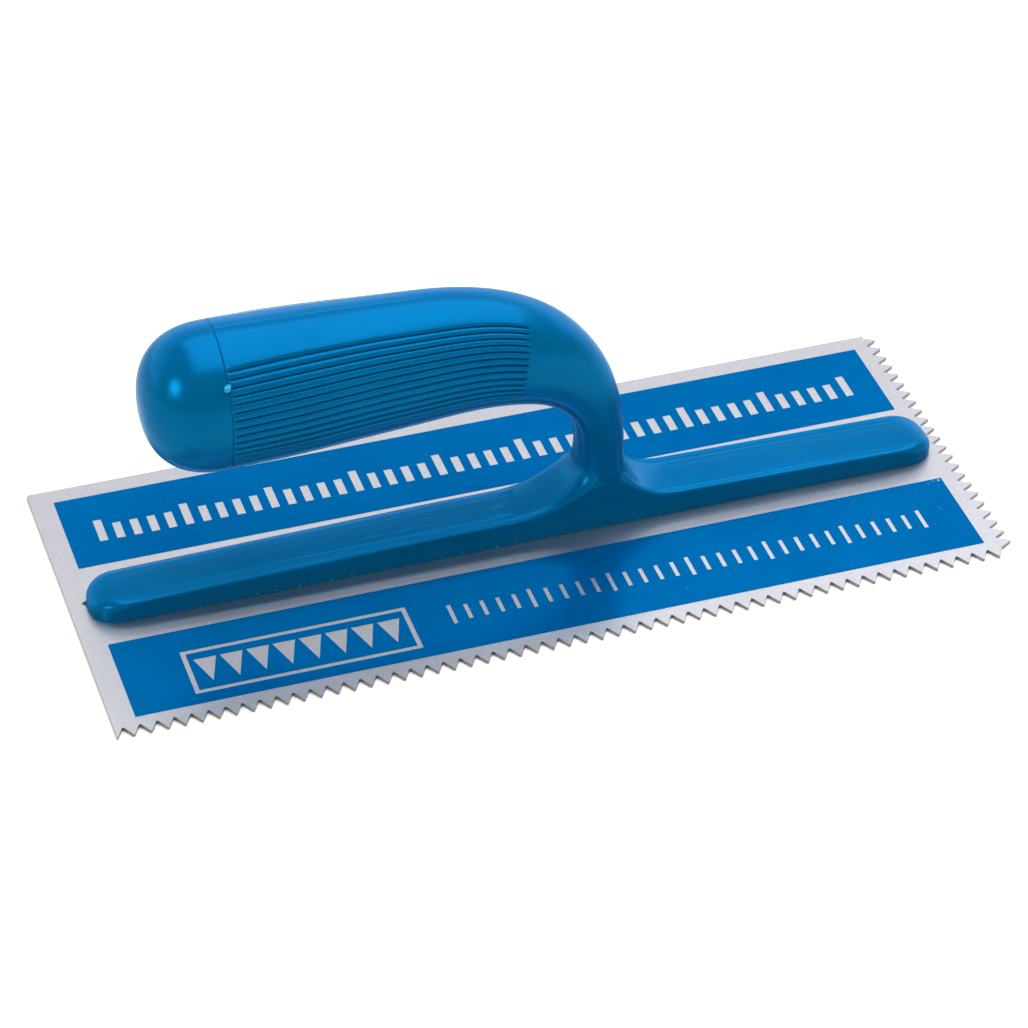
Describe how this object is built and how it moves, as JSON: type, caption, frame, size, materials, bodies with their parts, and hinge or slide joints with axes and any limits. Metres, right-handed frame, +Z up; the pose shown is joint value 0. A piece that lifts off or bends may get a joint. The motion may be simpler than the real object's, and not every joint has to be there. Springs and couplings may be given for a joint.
{
  "type": "notched adhesive trowel",
  "caption": "Rectangular steel adhesive trowel, V-notched along its front and right edges, with printed panels and a moulded plastic bar, post and overhanging hollow grip.",
  "frame": {"origin": "middle of the blade's flat underside, at the centre of the bounding box's base", "axes": "+X along the blade from the grip's closed end towards the toothed short edge, +Y from the toothed long edge towards the straight long edge, +Z up from the blade to the grip"},
  "size_m": [0.2794, 0.1206, 0.0935],
  "materials": {
    "plate_steel": "rolled plate, fine lengthwise grain, satin",
    "blue_plastic": "glossy moulded plastic",
    "blue_ink": "satin printed film, with cut-outs that show the steel",
    "rivet_steel": "plated, flush with the blade"
  },
  "bodies": {
    "root": {"blade": "plate_steel", "handle": "blue_plastic", "grip_end_cap": "blue_plastic", "front_panel": "blue_ink", "rear_panel": "blue_ink", "mounting_rivet_1": "rivet_steel", "mounting_rivet_2": "rivet_steel", "mounting_rivet_3": "rivet_steel", "mounting_rivet_4": "rivet_steel", "mounting_rivet_5": "rivet_steel", "mounting_rivet_6": "rivet_steel"}
  },
  "joints": []
}
